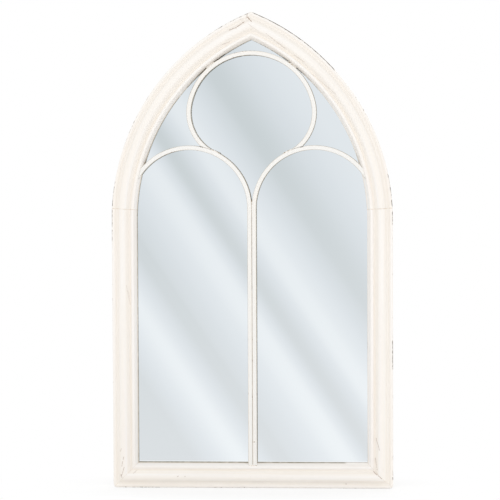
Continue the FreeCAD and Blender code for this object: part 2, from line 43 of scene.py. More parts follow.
# Metres throughout. The wall is y = 0 and the mirror looks along -y, so "height" is -y.
# "inset" is the distance from the frame's outer edge towards the opening.

outline = {
    "halfWidth": 0.319,
    "springHeight": 0.610,
    "archRadius": 0.506,
    "seamRise": 0.027,  # the seam of stile and arch lies this far above the spring
    "cornerRound": 0.0052,  # up to cornerFrom in front of the wall
    "cornerFront": 0.0095,  # from cornerTo on
    "cornerFrom": 0.0045,
    "cornerTo": 0.013,
    "middleInset": 0.025,  # the line on which an arch rail's length is measured
}
centreShift = outline["archRadius"] - outline["halfWidth"]
seamAngle = math.asin(outline["seamRise"] / outline["archRadius"])


def linear(r, g, b):
    # colour written as 0 to 255, as it should look on screen
    def channel(v):
        v /= 255
        return v / 12.92 if v <= 0.04045 else ((v + 0.055) / 1.055) ** 2.4
    return (channel(r), channel(g), channel(b), 1)


def smoothStep(low, high, value):
    t = min(1, max(0, (value - low) / (high - low)))
    return t * t * (3 - 2 * t)


def divided(start, end, count):
    # the points between two others
    return [
        (start[0] + (end[0] - start[0]) * k / count, start[1] + (end[1] - start[1]) * k / count)
        for k in range(1, count)
    ]


def arcPoints(centre, radius, start, end, step):
    count = max(2, math.ceil(abs(end - start) * max(radius, 0.002) / step))
    angles = [start + (end - start) * k / count for k in range(count + 1)]
    return [(centre[0] + radius * math.cos(a), centre[1] + radius * math.sin(a)) for a in angles]


def tubeFaces(rings, count):
    # the faces over rings of so many points each, closed at both ends
    faces = []
    for ring in range(rings - 1):
        for k in range(count):
            a, b = ring * count + k, ring * count + (k + 1) % count
            faces.append((a, b, b + count, a + count))
    last = (rings - 1) * count
    return faces + [tuple(range(count - 1, -1, -1)), tuple(range(last, last + count))]


def smooth(mesh, creaseAngle):
    mesh.shade_smooth()
    mesh.set_sharp_from_angle(angle=math.radians(creaseAngle))


def placed(name, data):
    made = bpy.data.objects.new(name, data)
    scene.collection.objects.link(made)
    return made


def newPiece(name, points, faces, creaseAngle=40):
    mesh = bpy.data.meshes.new(name)
    mesh.from_pydata(points, [], faces)
    mesh.validate()
    work = bmesh.new()
    work.from_mesh(mesh)
    bmesh.ops.recalc_face_normals(work, faces=work.faces)
    work.to_mesh(mesh)
    work.free()
    smooth(mesh, creaseAngle)
    return placed(name, mesh)


def baked(piece, name):
    # the evaluated object as a plain mesh, with its modifiers gone
    scene.view_layers[0].update()
    shape = piece.evaluated_get(bpy.context.evaluated_depsgraph_get())
    mesh = bpy.data.meshes.new_from_object(shape)
    mesh.name = name
    bpy.data.objects.remove(piece)
    return placed(name, mesh)


def keep(piece, slot, *replaced):
    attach(piece, "root")
    if replaced:
        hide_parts(*replaced)
    return piece


# helpers that place and join nodes, for shaders and for geometry

def link(tree, source, target):
    tree.links.new(source, target)


def feed(tree, socket, value):
    # a plain value is set on the socket, and another node's output is linked to it
    if isinstance(value, (int, float, tuple, str)):
        socket.default_value = value
    elif value is not None:
        link(tree, value, socket)


def newNode(tree, kind, feeds=None, **settings):
    made = tree.nodes.new(kind)
    for key, value in settings.items():
        setattr(made, key, value)
    for socket, value in (feeds or {}).items():
        feed(tree, made.inputs[socket], value)
    return made


def mathNode(tree, operation, first, second=None, clamp=False):
    feeds = {0: first, 1: second}
    return newNode(tree, "ShaderNodeMath", feeds, operation=operation, use_clamp=clamp).outputs[0]


def times(tree, first, *others):
    for other in others:
        first = mathNode(tree, "MULTIPLY", first, other)
    return first


def plus(tree, first, second, clamp=False):
    return mathNode(tree, "ADD", first, second, clamp)


def minus(tree, first, second):
    return mathNode(tree, "SUBTRACT", first, second)


def larger(tree, first, *others):
    for other in others:
        first = mathNode(tree, "MAXIMUM", first, other)
    return first


def vectorNode(tree, operation, first, second=None, output=0):
    feeds = {0: first, 1: second}
    return newNode(tree, "ShaderNodeVectorMath", feeds, operation=operation).outputs[output]


def scaledBy(tree, vector, scale):
    feeds = {0: vector, "Scale": scale}
    return newNode(tree, "ShaderNodeVectorMath", feeds, operation="SCALE").outputs[0]


def apart(tree, vector):
    return newNode(tree, "ShaderNodeSeparateXYZ", {0: vector}).outputs


def together(tree, *values):
    return newNode(tree, "ShaderNodeCombineXYZ", dict(enumerate(values))).outputs[0]


def mapRange(tree, value, low, high, toLow=0.0, toHigh=1.0, kind="SMOOTHSTEP"):
    feeds = {"Value": value, "From Min": low, "From Max": high, "To Min": toLow, "To Max": toHigh}
    made = newNode(tree, "ShaderNodeMapRange", feeds, clamp=True, interpolation_type=kind)
    return made.outputs["Result"]


def mixColour(tree, factor, first, second):
    feeds = {"Factor": factor, 6: first, 7: second}
    return newNode(tree, "ShaderNodeMix", feeds, data_type="RGBA").outputs[2]


def greyRamp(tree, value, stops, interpolation):
    # stops are (place from 0 to 1, brightness)
    made = newNode(tree, "ShaderNodeValToRGB", {0: value})
    made.color_ramp.interpolation = interpolation
    elements = made.color_ramp.elements
    while len(elements) < len(stops):
        elements.new(0.5)
    for element, (position, grey) in zip(elements, stops):
        element.position = position
        element.color = (grey, grey, grey, 1)
    return made.outputs[0]


def noiseNode(tree, vector, scale, detail=3.0, roughness=0.55):
    feeds = {"Vector": vector, "Scale": scale, "Detail": detail, "Roughness": roughness}
    return newNode(tree, "ShaderNodeTexNoise", feeds).outputs["Fac"]


def patches(tree, place, scale, detail, low, high, toLow=0.0, toHigh=1.0, roughness=0.55):
    return mapRange(tree, noiseNode(tree, place, scale, detail, roughness), low, high, toLow, toHigh)


def objectPlace(tree):
    return newNode(tree, "ShaderNodeTexCoord").outputs["Object"]


def attribute(tree, name, output="Fac"):
    return newNode(tree, "ShaderNodeAttribute", attribute_name=name).outputs[output]


def newSocket(tree, way, label, kind="Float", default=None):
    socket = tree.interface.new_socket(name=label, in_out=way, socket_type=f"NodeSocket{kind}")
    if default is not None:
        socket.default_value = default


def newGroup(name, sizes, outputs):
    # a shader group that reads a place and some sizes, and puts out values
    tree = bpy.data.node_groups.new(name, "ShaderNodeTree")
    newSocket(tree, "INPUT", "Place", "Vector")
    for label, default in sizes.items():
        newSocket(tree, "INPUT", label, "Vector" if default is None else "Float", default)
    for label in outputs:
        newSocket(tree, "OUTPUT", label)
    return tree, newNode(tree, "NodeGroupInput").outputs, newNode(tree, "NodeGroupOutput").inputs


def useGroup(tree, group, **values):
    feeds = {label.replace("_", " "): value for label, value in values.items()}
    return newNode(tree, "ShaderNodeGroup", feeds, node_tree=group).outputs


def newMaterial(name):
    material = bpy.data.materials.new(name)
    material.use_nodes = True
    tree = material.node_tree
    tree.nodes.clear()
    surface = newNode(tree, "ShaderNodeBsdfPrincipled")
    newNode(tree, "ShaderNodeOutputMaterial", {"Surface": surface.outputs["BSDF"]})
    return material, tree, surface


def coat(tree, surface, colour, roughness, relief, strength, distance):
    bump = newNode(tree, "ShaderNodeBump", {"Strength": strength, "Distance": distance, "Height": relief})
    feeds = {"Base Color": colour, "Roughness": roughness, "Normal": bump.outputs["Normal"]}
    for name, value in feeds.items():
        feed(tree, surface.inputs[name], value)


# long strokes of a paint brush: Place is (along, across, up) in metres
group, given, result = newGroup(
    "brushStrokes", {"Stroke Length": 0.12, "Stroke Width": 0.0016}, ["Fine", "Broad"]
)
lengthScale = mathNode(group, "DIVIDE", 1, given["Stroke Length"])
widthScale = mathNode(group, "DIVIDE", 1, given["Stroke Width"])
squeeze = together(group, lengthScale, widthScale, widthScale)
squeezed = vectorNode(group, "MULTIPLY", given["Place"], squeeze)
link(group, noiseNode(group, squeezed, 1.0, 4.0, 0.6), result["Fine"])
link(group, noiseNode(group, squeezed, 0.23, 2.0, 0.5), result["Broad"])
brushGroup = group

# a thin scratch between two points of the front view, broken up by noise
group, given, result = newGroup(
    "scratchMark", {"Start": None, "End": None, "Width": 0.001, "Broken": 0.5}, ["Mask"]
)
flatPlace = vectorNode(group, "MULTIPLY", given["Place"], (1, 0, 1))
tremble = newNode(group, "ShaderNodeTexNoise", {"Vector": flatPlace, "Scale": 160})
shaken = vectorNode(group, "SUBTRACT", tremble.outputs["Color"], (0.5, 0.5, 0.5))
shaken = vectorNode(group, "MULTIPLY", shaken, (0.003, 0, 0.003))
shaken = vectorNode(group, "ADD", flatPlace, shaken)
fromStart = vectorNode(group, "SUBTRACT", shaken, given["Start"])
whole = vectorNode(group, "SUBTRACT", given["End"], given["Start"])
passed = vectorNode(group, "DOT_PRODUCT", fromStart, whole, 1)
squared = vectorNode(group, "DOT_PRODUCT", whole, whole, 1)
reach = mathNode(group, "DIVIDE", passed, squared, clamp=True)
away = vectorNode(group, "SUBTRACT", fromStart, scaledBy(group, whole, reach))
distance = vectorNode(group, "LENGTH", away, None, 1)
core = mapRange(group, distance, given["Width"], 0.0)
edge = plus(group, times(group, given["Broken"], 0.5), 0.18)
opened = patches(group, flatPlace, 330.0, 2.0, edge, plus(group, edge, 0.12))
link(group, times(group, core, opened), result["Mask"])
scratchGroup = group

# chips where the paint has come off an edge: Edge is 1 on the edge itself
group, given, result = newGroup(
    "chippedEdge", {"Edge": 0.0, "Amount": 0.3, "Size": 0.004}, ["Mask", "Rim"]
)
chipPlace = scaledBy(group, given["Place"], mathNode(group, "DIVIDE", 1, given["Size"]))
chipNoise = noiseNode(group, chipPlace, 1.0, 4.0, 0.65)
pull = times(group, given["Edge"], given["Amount"])
level = plus(group, chipNoise, times(group, pull, 0.62))
link(group, mapRange(group, level, 0.80, 0.86), result["Mask"])
link(group, mapRange(group, level, 0.70, 0.82), result["Rim"])
chipGroup = group

paint = {
    "cream": linear(247, 242, 236),
    "creamCool": linear(248, 246, 244),
    # a tan for the wash and for painted shade in the hollows
    "washAndShade": linear(238, 226, 207),
    "blush": linear(247, 238, 226),
    "seam": linear(196, 170, 134),
    # a dark tone for painted shade in the lip's crease and on the bars' sides
    "olive": linear(128, 118, 88),
    "grime": linear(150, 132, 104),
    "barCream": linear(242, 239, 234),
    "barCool": linear(241, 240, 237),
    "primer": linear(116, 108, 98),
    "rust": linear(134, 98, 66),
    # a dark tone for painted shade in gaps and crotches
    "crevice": linear(78, 70, 56),
    "roughness": 0.46,
}

# marks on the front as (start x, start z, end x, end z, width, strength)
scratches = [
    (-0.0078, 1.0678, 0.0016, 1.0577, 0.0017, 0.95),
    (-0.0078, 1.0770, -0.0105, 1.0678, 0.0015, 0.60),
    (-0.0485, 1.0389, -0.0315, 1.0444, 0.0018, 0.75),
    (-0.0327, 1.0438, -0.0157, 1.0571, 0.0019, 0.90),
    (-0.0644, 1.0065, -0.0475, 1.0125, 0.0014, 0.36),
    (-0.0056, 1.0519, 0.0123, 1.0388, 0.0013, 0.26),
    (0.0348, 1.0302, 0.0774, 0.9962, 0.0014, 0.34),
    (0.0976, 0.9820, 0.1200, 0.9660, 0.0014, 0.30),
    (0.1368, 0.9395, 0.1917, 0.8934, 0.0013, 0.26),
    (-0.2926, 0.0716, -0.2949, 0.0659, 0.0013, 0.55),
    (-0.2956, 0.0629, -0.2984, 0.0501, 0.0014, 0.55),
    (-0.2926, 0.0478, -0.2961, 0.0364, 0.0014, 0.60),
    (-0.2961, 0.0341, -0.3006, 0.0274, 0.0013, 0.60),
    (-0.3006, 0.0309, -0.2984, 0.0240, 0.0013, 0.50),
    (-0.2988, 0.0903, -0.3018, 0.0835, 0.0014, 0.30),
    (-0.2713, 0.0345, -0.2649, 0.0395, 0.0015, 0.36),
    (-0.1710, 0.0279, -0.1687, 0.0283, 0.0016, 0.50),
    (-0.1551, 0.0279, -0.1523, 0.0284, 0.0016, 0.30),
    (0.2802, 0.1159, 0.2885, 0.0889, 0.0015, 0.48),
    (0.2790, 0.0707, 0.2824, 0.0442, 0.0015, 0.42),
    (0.2733, 0.0405, 0.2932, 0.0251, 0.0016, 0.60),
    (0.2109, 0.0102, 0.2131, 0.0102, 0.0017, 0.40),
    (-0.2849, 0.4620, -0.2770, 0.4182, 0.0013, 0.26),
    (-0.2431, 0.7396, -0.2409, 0.7350, 0.0019, 0.60),
]
# painted shade in the gaps on the lip at the two ends of each ring weld
crevices = [
    (-0.0849, 0.9668, -0.0600, 0.9844, 0.0014, 0.85),
    (-0.1114, 0.9449, -0.1008, 0.9541, 0.0014, 0.85),
    (0.0830, 0.9682, 0.0697, 0.9778, 0.0014, 0.85),
    (0.1143, 0.9423, 0.1026, 0.9526, 0.0014, 0.85),
]
# painted shade in the crotches of the ring's feet, then in the line where the two mullion bars meet
barMarks = [
    (-0.1180, 0.7768, -0.1110, 0.7752, 0.0020, 0.85),
    (0.1180, 0.7768, 0.1110, 0.7752, 0.0020, 0.85),
    (0.0000, 0.4500, 0.0000, 0.6200, 0.0008, 0.40),
]


def painted(tree, first, *layers):
    # each layer is (share, name of a paint) and lies over those before it
    colour = paint[first]
    for share, name in layers:
        colour = mixColour(tree, share, colour, paint[name])
    return colour


def allMarks(tree, place, marks, broken):
    total = None
    for x0, z0, x1, z1, width, strength in marks:
        ends = {"Start": (x0, 0, z0), "End": (x1, 0, z1)}
        mark = useGroup(tree, scratchGroup, Place=place, Width=width, Broken=broken, **ends)
        mask = times(tree, mark["Mask"], strength)
        total = mask if total is None else larger(tree, total, mask)
    return total


frameLook = {
    "strokeLength": 0.16,
    "strokeWidth": 0.0022,
    "hairLength": 0.05,
    "hairWidth": 0.0007,
    # tan wash and painted shade in the cove, in the valley and on the slope of the lip, as (inset, share)
    "washAndShadeBands": [
        (0.0000, 0.12), (0.0065, 0.06), (0.0092, 0.32), (0.0140, 0.27), (0.0205, 0.20),
        (0.0262, 0.06), (0.0315, 0.08), (0.0365, 0.24), (0.0415, 0.32), (0.0445, 0.06),
        (0.0480, 0.00), (0.0545, 0.00), (0.0565, 0.12), (0.0580, 0.50),
    ],
    "washReach": 0.06,
    "speckScale": 900.0,
    "speckShare": 0.55,
    "cloudScale": 34.0,
    "rimShare": 0.55,
    "chipSize": 0.0075,
    "chipsEverywhere": 0.21,
    "chipsWhereWorn": 0.46,
    "seamShare": 0.9,
    "slopeShade": 0.14,
    "scratchesBroken": 0.34,
    "crevicesBroken": 0.25,
    "hollowThin": 0.30,
    "hollowThick": 0.58,
    "chipRoughness": 0.18,
}


def framePaint():
    look = frameLook
    material, tree, surface = newMaterial("creamFramePaint")
    place = attribute(tree, "railPlace", "Vector")
    _, inset, height = apart(tree, place)
    inside = attribute(tree, "railInside")
    shade = attribute(tree, "railShade")
    here = objectPlace(tree)

    def strokes(length, width):
        return useGroup(tree, brushGroup, Place=place, Stroke_Length=length, Stroke_Width=width)

    brush = strokes(look["strokeLength"], look["strokeWidth"])
    hairs = strokes(look["hairLength"], look["hairWidth"])
    cool = mapRange(tree, brush["Broad"], 0.35, 0.65)
    blush = mapRange(tree, brush["Broad"], 0.52, 0.74, 0.0, 0.55)
    scale = 1 / look["washReach"]
    bands = [(position * scale, share) for position, share in look["washAndShadeBands"]]
    # the tan by inset is partly a wash and partly painted shade in the hollows
    washAndShade = greyRamp(tree, times(tree, inset, scale), bands, "EASE")
    washAndShade = times(tree, washAndShade, mapRange(tree, brush["Fine"], 0.30, 0.72, 0.45, 1.25))
    washAndShade = plus(tree, washAndShade, mapRange(tree, hairs["Fine"], 0.55, 0.80, 0.0, 0.14), clamp=True)
    # brown specks in loose clouds
    specks = patches(tree, here, look["speckScale"], 2.0, 0.70, 0.76, roughness=0.5)
    cloud = patches(tree, here, look["cloudScale"], 2.0, 0.52, 0.66, roughness=0.5)

    # chips: a little everywhere along the outer edge, a lot where railWear says
    front = mapRange(tree, height, 0.0125, 0.0165)
    outerEdge = times(tree, mapRange(tree, inset, 0.0030, 0.0003), front)
    lipEdge = times(tree, mapRange(tree, inset, 0.0560, 0.0579), 0.55)
    amount = times(tree, attribute(tree, "railWear"), look["chipsWhereWorn"])
    amount = plus(tree, amount, look["chipsEverywhere"])
    edges = larger(tree, outerEdge, lipEdge)
    chips = useGroup(tree, chipGroup, Place=here, Edge=edges, Amount=amount, Size=look["chipSize"])

    # seams and mitres, closed with filler and drawn by a thin line of grime
    seamBreak = patches(tree, here, 240.0, 2.0, 0.36, 0.60, 0.15, look["seamShare"])
    seam = times(tree, attribute(tree, "railSeam"), seamBreak)
    # painted shade on the lip's slope, and a dark painted line of shade in the crease at its foot, where
    # railShade says
    slope = times(tree, mapRange(tree, inset, 0.0525, 0.0565), shade, look["slopeShade"])
    lipLine = times(tree, mapRange(tree, inset, 0.0562, 0.0575), mapRange(tree, height, 0.009, 0.0105))
    lipLine = times(tree, lipLine, shade, patches(tree, place, 75.0, 3.0, 0.30, 0.62, 0.62, 1.0))
    outward = minus(tree, 1, inside)
    scratched = allMarks(tree, here, scratches, look["scratchesBroken"])
    gapShade = allMarks(tree, here, crevices, look["crevicesBroken"])
    # the hollow behind has only a thin, uneven coat
    bare = patches(tree, here, 22.0, 4.0, 0.36, 0.66, look["hollowThin"], look["hollowThick"])

    colour = painted(
        tree,
        "cream",
        (cool, "creamCool"),
        (blush, "blush"),
        (washAndShade, "washAndShade"),
        (times(tree, specks, cloud, look["speckShare"]), "grime"),
        (times(tree, chips["Rim"], look["rimShare"]), "grime"),
        (chips["Mask"], "primer"),
        (seam, "seam"),
        (slope, "seam"),
        (lipLine, "olive"),
        (times(tree, scratched, outward), "rust"),
        (times(tree, gapShade, outward), "crevice"),
        (times(tree, inside, bare), "primer"),
    )
    rough = paint["roughness"]
    rough = mapRange(tree, brush["Fine"], 0.3, 0.7, rough - 0.07, rough + 0.10)
    rough = plus(tree, rough, times(tree, chips["Mask"], look["chipRoughness"]))
    relief = plus(tree, times(tree, hairs["Fine"], 0.5), brush["Fine"])
    relief = minus(tree, relief, times(tree, chips["Mask"], 1.4))
    coat(tree, surface, colour, rough, relief, strength=0.45, distance=0.0003)
    return material


bars = {
    "width": 0.010,
    "depth": 0.010,
    "round": 0.0013,
    "back": 0.0125,
    "step": 0.004,
    "wander": 0.0002,
    "pathStep": 0.002,
    "lightRise": 0.027,
    "lightRadius": 0.137,
    "lightSweep": 160,  # degrees, past the lip that cuts it
    "ringRadius": 0.143,
    "flankElevation": 12.4,  # degrees, as the next one
    "toeAngle": 5.0,
    "footLow": 0.030,  # below the lip that cuts it
    "mullionSeam": 0.106,
    "seamGap": 0.0003,
    "weldGap": 0.0002,
}
barLook = {
    "strokeLength": 0.09,
    "strokeWidth": 0.0015,
    "sideShadeShare": 0.58,
    "thinEdgeShare": 0.50,
    "rimShare": 0.6,
    "chipSize": 0.0042,
    "chipsMost": 0.46,
    "marksBroken": 0.25,
}


def barPaint():
    look = barLook
    material, tree, surface = newMaterial("creamBarPaint")
    across, depth, along = apart(tree, attribute(tree, "barPlace", "Vector"))
    here = objectPlace(tree)
    strokes = {"Stroke_Length": look["strokeLength"], "Stroke_Width": look["strokeWidth"]}
    brush = useGroup(tree, brushGroup, Place=together(tree, along, across, depth), **strokes)
    half = bars["width"] / 2
    sideways = mathNode(tree, "DIVIDE", mathNode(tree, "ABSOLUTE", across), half)
    backwards = mathNode(tree, "DIVIDE", mathNode(tree, "ABSOLUTE", depth), half)
    edges = times(tree, mapRange(tree, sideways, 0.66, 0.92), mapRange(tree, backwards, 0.66, 0.92))
    patch = patches(tree, here, 16.0, 2.0, 0.50, 0.68, 0.0, look["chipsMost"])
    chips = useGroup(tree, chipGroup, Place=here, Edge=edges, Amount=patch, Size=look["chipSize"])
    # paint is thin on the bar's long edges, so they draw a tan line
    thinEdge = mapRange(tree, sideways, 0.74, 0.96, 0.0, look["thinEdgeShare"])
    thinEdge = times(tree, thinEdge, patches(tree, here, 90.0, 3.0, 0.34, 0.60, 0.55, 1.0))
    colour = painted(
        tree,
        "barCream",
        (mapRange(tree, brush["Broad"], 0.35, 0.65), "barCool"),
        (mapRange(tree, brush["Fine"], 0.52, 0.80, 0.0, 0.45), "blush"),
        (thinEdge, "seam"),
        # painted shade on the bars' sides
        (times(tree, mapRange(tree, sideways, 0.88, 0.98), look["sideShadeShare"]), "olive"),
        (times(tree, chips["Rim"], look["rimShare"]), "grime"),
        (chips["Mask"], "rust"),
        # painted shade in the crotches and between the mullion bars
        (allMarks(tree, here, barMarks, look["marksBroken"]), "crevice"),
    )
    rough = paint["roughness"]
    rough = mapRange(tree, brush["Fine"], 0.3, 0.7, rough - 0.05, rough + 0.10)
    relief = minus(tree, brush["Fine"], chips["Mask"])
    coat(tree, surface, colour, rough, relief, strength=0.5, distance=0.0003)
    return material


def weldPaint():
    material, tree, surface = newMaterial("paintedWeld")
    here = objectPlace(tree)
    lumps = noiseNode(tree, here, 420.0, 3.0, 0.6)
    chips = useGroup(tree, chipGroup, Place=here, Edge=1.0, Amount=0.34, Size=0.0035)
    tan = mapRange(tree, lumps, 0.45, 0.72, 0.0, 0.8)
    colour = painted(tree, "cream", (tan, "washAndShade"), (chips["Rim"], "grime"))
    coat(tree, surface, colour, 0.5, lumps, strength=0.6, distance=0.0006)
    return material


reflectionStreaks = {
    "lightLow": linear(239, 244, 247),
    "lightHigh": linear(228, 234, 238),
    "darkLow": linear(219, 224, 227),
    "darkHigh": linear(202, 210, 213),
    "middle": linear(219, 226, 234),
    "middleShare": 0.9,
    "lipEdge": linear(247, 249, 250),
    "lipFrom": 0.0618,
    "lipTo": 0.0592,
    "lipShare": 0.75,
    "roughness": 0.025,
    "riseFrom": 0.10,
    "riseTo": 0.80,
    "lean": 0.667,
    "low": -0.25,
    "span": 1.25,
    # painted reflection: soft bands that lean from the upper left to the lower right, as (place, share of
    # dark)
    "bands": [
        (-0.090, 1.00), (0.015, 0.00), (0.095, 1.00), (0.135, 0.86), (0.175, 0.56),
        (0.215, 0.22), (0.250, 0.00), (0.277, 0.12), (0.298, 0.60), (0.320, 1.00),
        (0.352, 0.75), (0.378, 0.26), (0.400, 0.00), (0.435, 0.12), (0.475, 0.48),
        (0.515, 0.88), (0.550, 1.00), (0.605, 0.72), (0.655, 0.38), (0.720, 0.12),
    ],
}


# the glass's colour is a painted reflection: leaning streaks, lighter towards the bottom
def mirrorReflectionPaint():
    material, tree, surface = newMaterial("mirrorReflectionPaint")
    x, _, z = apart(tree, objectPlace(tree))
    low, high = reflectionStreaks["low"], reflectionStreaks["low"] + reflectionStreaks["span"]
    band = plus(tree, x, times(tree, z, reflectionStreaks["lean"]))
    band = mapRange(tree, band, low, high, kind="LINEAR")
    stops = [((position - low) / reflectionStreaks["span"], share) for position, share in reflectionStreaks["bands"]]
    darkness = greyRamp(tree, band, stops, "CARDINAL")
    rise = mapRange(tree, z, reflectionStreaks["riseFrom"], reflectionStreaks["riseTo"], kind="LINEAR")
    light = mixColour(tree, rise, reflectionStreaks["lightLow"], reflectionStreaks["lightHigh"])
    dark = mixColour(tree, rise, reflectionStreaks["darkLow"], reflectionStreaks["darkHigh"])
    colour = mixColour(tree, darkness, light, dark)
    # the middle tones lean a little to blue
    between = times(tree, darkness, minus(tree, 1, darkness))
    colour = mixColour(tree, times(tree, between, reflectionStreaks["middleShare"]), colour, reflectionStreaks["middle"])
    # a painted reflection of the lip's lit edge, a pale line in the glass just above the bottom rail
    lipReflection = mapRange(tree, z, reflectionStreaks["lipFrom"], reflectionStreaks["lipTo"], 0.0, reflectionStreaks["lipShare"])
    colour = mixColour(tree, lipReflection, colour, reflectionStreaks["lipEdge"])
    link(tree, colour, surface.inputs["Base Color"])
    surface.inputs["Metallic"].default_value = 1.0
    surface.inputs["Roughness"].default_value = reflectionStreaks["roughness"]
    return material


def plainFinish(name, first, second, scale, roughness, metallic=0.0, stretch=(1, 1, 1)):
    material, tree, surface = newMaterial(name)
    here = vectorNode(tree, "MULTIPLY", objectPlace(tree), stretch)
    grain = noiseNode(tree, here, scale, 5.0, 0.62)
    worn = patches(tree, here, scale * 0.07, 3.0, 0.45, 0.75, 0.0, 0.35, 0.5)
    first, second = linear(*first), linear(*second)
    colour = mixColour(tree, mapRange(tree, grain, 0.32, 0.70), first, second)
    colour = mixColour(tree, worn, colour, second)
    rough = mapRange(tree, grain, 0.3, 0.7, roughness - 0.08, roughness + 0.08)
    surface.inputs["Metallic"].default_value = metallic
    coat(tree, surface, colour, rough, grain, strength=0.3, distance=0.0004)
    return material


creamFrame = framePaint()
creamBar = barPaint()
creamWeld = weldPaint()
streakedMirror = mirrorReflectionPaint()
hardboard = plainFinish(
    "hardboard", (146, 108, 72), (110, 78, 50), scale=420, roughness=0.72, stretch=(1, 1, 0.35)
)
blackFelt = plainFinish("blackFelt", (40, 38, 36), (22, 21, 20), scale=900, roughness=0.9)
plateSteel = plainFinish("plateSteel", (206, 198, 186), (170, 160, 146), scale=120, roughness=0.5)
springSteel = plainFinish(
    "springSteel", (150, 152, 156), (112, 114, 118), scale=260, roughness=0.36, metallic=1.0,
    stretch=(1, 1, 0.2),
)
bumperRubber = plainFinish("bumperRubber", (46, 45, 44), (30, 30, 30), scale=500, roughness=0.8)
print("materials made")

moulding = {
    "sheet": 0.0015,
    "beadRadius": 0.004,
    "outerBeadHeight": 0.017,
    "ridgeInset": 0.027,
    "ridgeRadius": 0.012,
    "ridgeHeight": 0.019,
    "coveEase": 0.00146,
    "valleyEase": 0.00095,
    "innerBeadInset": 0.048,
    "innerBeadHeight": 0.021,
    "faceWidth": 0.058,
    "lipWall": 0.0035,
    "seatHeight": 0.0105,
    "rebateInset": 0.043,
    "boardBack": 0.004,
    "arcStep": 0.0011,
    "railStep": 0.0042,
    "hiddenCoarser": 2.4,
    "wobble": 0.00028,
    "drift": (9, 30, 0.75),  # waves of the skin: along, across, share
    "ripple": (60, 110, 0.35),
    "sway": (7, 12, 1.3),
    "calmEnd": 0.020,  # the skin lies true at the seams and is uneven from here on
    "seamDip": 0.0004,
    "seamWidth": 0.0013,
    "seamLine": 0.0011,
    "wearFade": 0.012,
    "lowered": 0.00014,  # keeps the uneven skin inside the real depth
    "loweredFrom": 0.012,
    "loweredTo": 0.020,
    "creaseAngle": 34,
}


def hollowBetween(first, second, firstRadius, secondRadius, ease):
    # centre and radius of the arc that runs from one round to the next, touching both
    across, up = second[0] - first[0], second[1] - first[1]
    span = math.hypot(across, up)
    radius = (span - firstRadius - secondRadius) / 2 + ease
    near, far = firstRadius + radius, secondRadius + radius
    reachAlong = (near**2 - far**2 + span**2) / (2 * span)
    rise = math.sqrt(near**2 - reachAlong**2)
    centre = (
        first[0] + (across * reachAlong - up * rise) / span,
        first[1] + (up * reachAlong + across * rise) / span,
    )
    return centre, radius


def bearing(start, end):
    return math.atan2(end[1] - start[1], end[0] - start[0])


def mouldingSkin(depth, step):
    # points of the bent sheet's face, or of its hidden side at that depth
    m = moulding
    outerBead = (m["beadRadius"], m["outerBeadHeight"])
    ridge = (m["ridgeInset"], m["ridgeHeight"])
    innerBead = (m["innerBeadInset"], m["innerBeadHeight"])
    lip = (m["faceWidth"], m["seatHeight"] + m["lipWall"])
    bead = m["beadRadius"]
    cove, coveRadius = hollowBetween(outerBead, ridge, bead, m["ridgeRadius"], m["coveEase"])
    valley, valleyRadius = hollowBetween(ridge, innerBead, m["ridgeRadius"], bead, m["valleyEase"])

    toBead = math.hypot(lip[0] - innerBead[0], lip[1] - innerBead[1])
    lipNormal = bearing(lip, innerBead) - math.asin(bead / toBead) - math.pi / 2
    outerEnd, ridgeStart = bearing(outerBead, cove), bearing(ridge, cove)
    ridgeEnd, innerStart = bearing(ridge, valley), bearing(innerBead, valley)
    turn = math.pi
    points = arcPoints(outerBead, bead - depth, turn, outerEnd, step)
    points += arcPoints(cove, coveRadius + depth, outerEnd + turn, ridgeStart + turn, step)[1:-1]
    points += arcPoints(ridge, m["ridgeRadius"] - depth, ridgeStart, ridgeEnd, step)
    points += arcPoints(valley, valleyRadius + depth, ridgeEnd + turn, innerStart + turn, step)[1:-1]
    points += arcPoints(innerBead, bead - depth, innerStart, lipNormal, step)
    return points, lipNormal


def mouldingSection():
    # closed loop of (inset, height, inside) round the bent sheet
    m = moulding
    skin, lipNormal = mouldingSkin(0, m["arcStep"])
    lip = (m["faceWidth"], m["seatHeight"] + m["lipWall"])
    front = [(0, 0)] + divided((0, 0), skin[0], 8) + skin + divided(skin[-1], lip, 6)
    front += [lip, (m["faceWidth"], m["seatHeight"])]
    front += [(m["rebateInset"], m["seatHeight"]), (m["rebateInset"], m["boardBack"])]
    hiddenSkin, _ = mouldingSkin(m["sheet"], m["arcStep"] * m["hiddenCoarser"])
    hiddenLip = m["faceWidth"] - m["sheet"]
    hiddenFlange = m["seatHeight"] + m["sheet"]
    slope = math.cos(lipNormal) / math.sin(lipNormal)
    end = hiddenSkin[-1]
    back = [
        (m["rebateInset"] - m["sheet"], m["boardBack"]),
        (m["rebateInset"] - m["sheet"], hiddenFlange),
        (hiddenLip, hiddenFlange),
        (hiddenLip, end[1] - (hiddenLip - end[0]) * slope),
    ]
    back += list(reversed(hiddenSkin)) + [(m["sheet"], 0)]
    seat = len(front) - 3
    loop = [(x, y, 1.0 if k > seat else 0.0) for k, (x, y) in enumerate(front)]
    return loop + [(x, y, 1.0) for x, y in back]


section = mouldingSection()

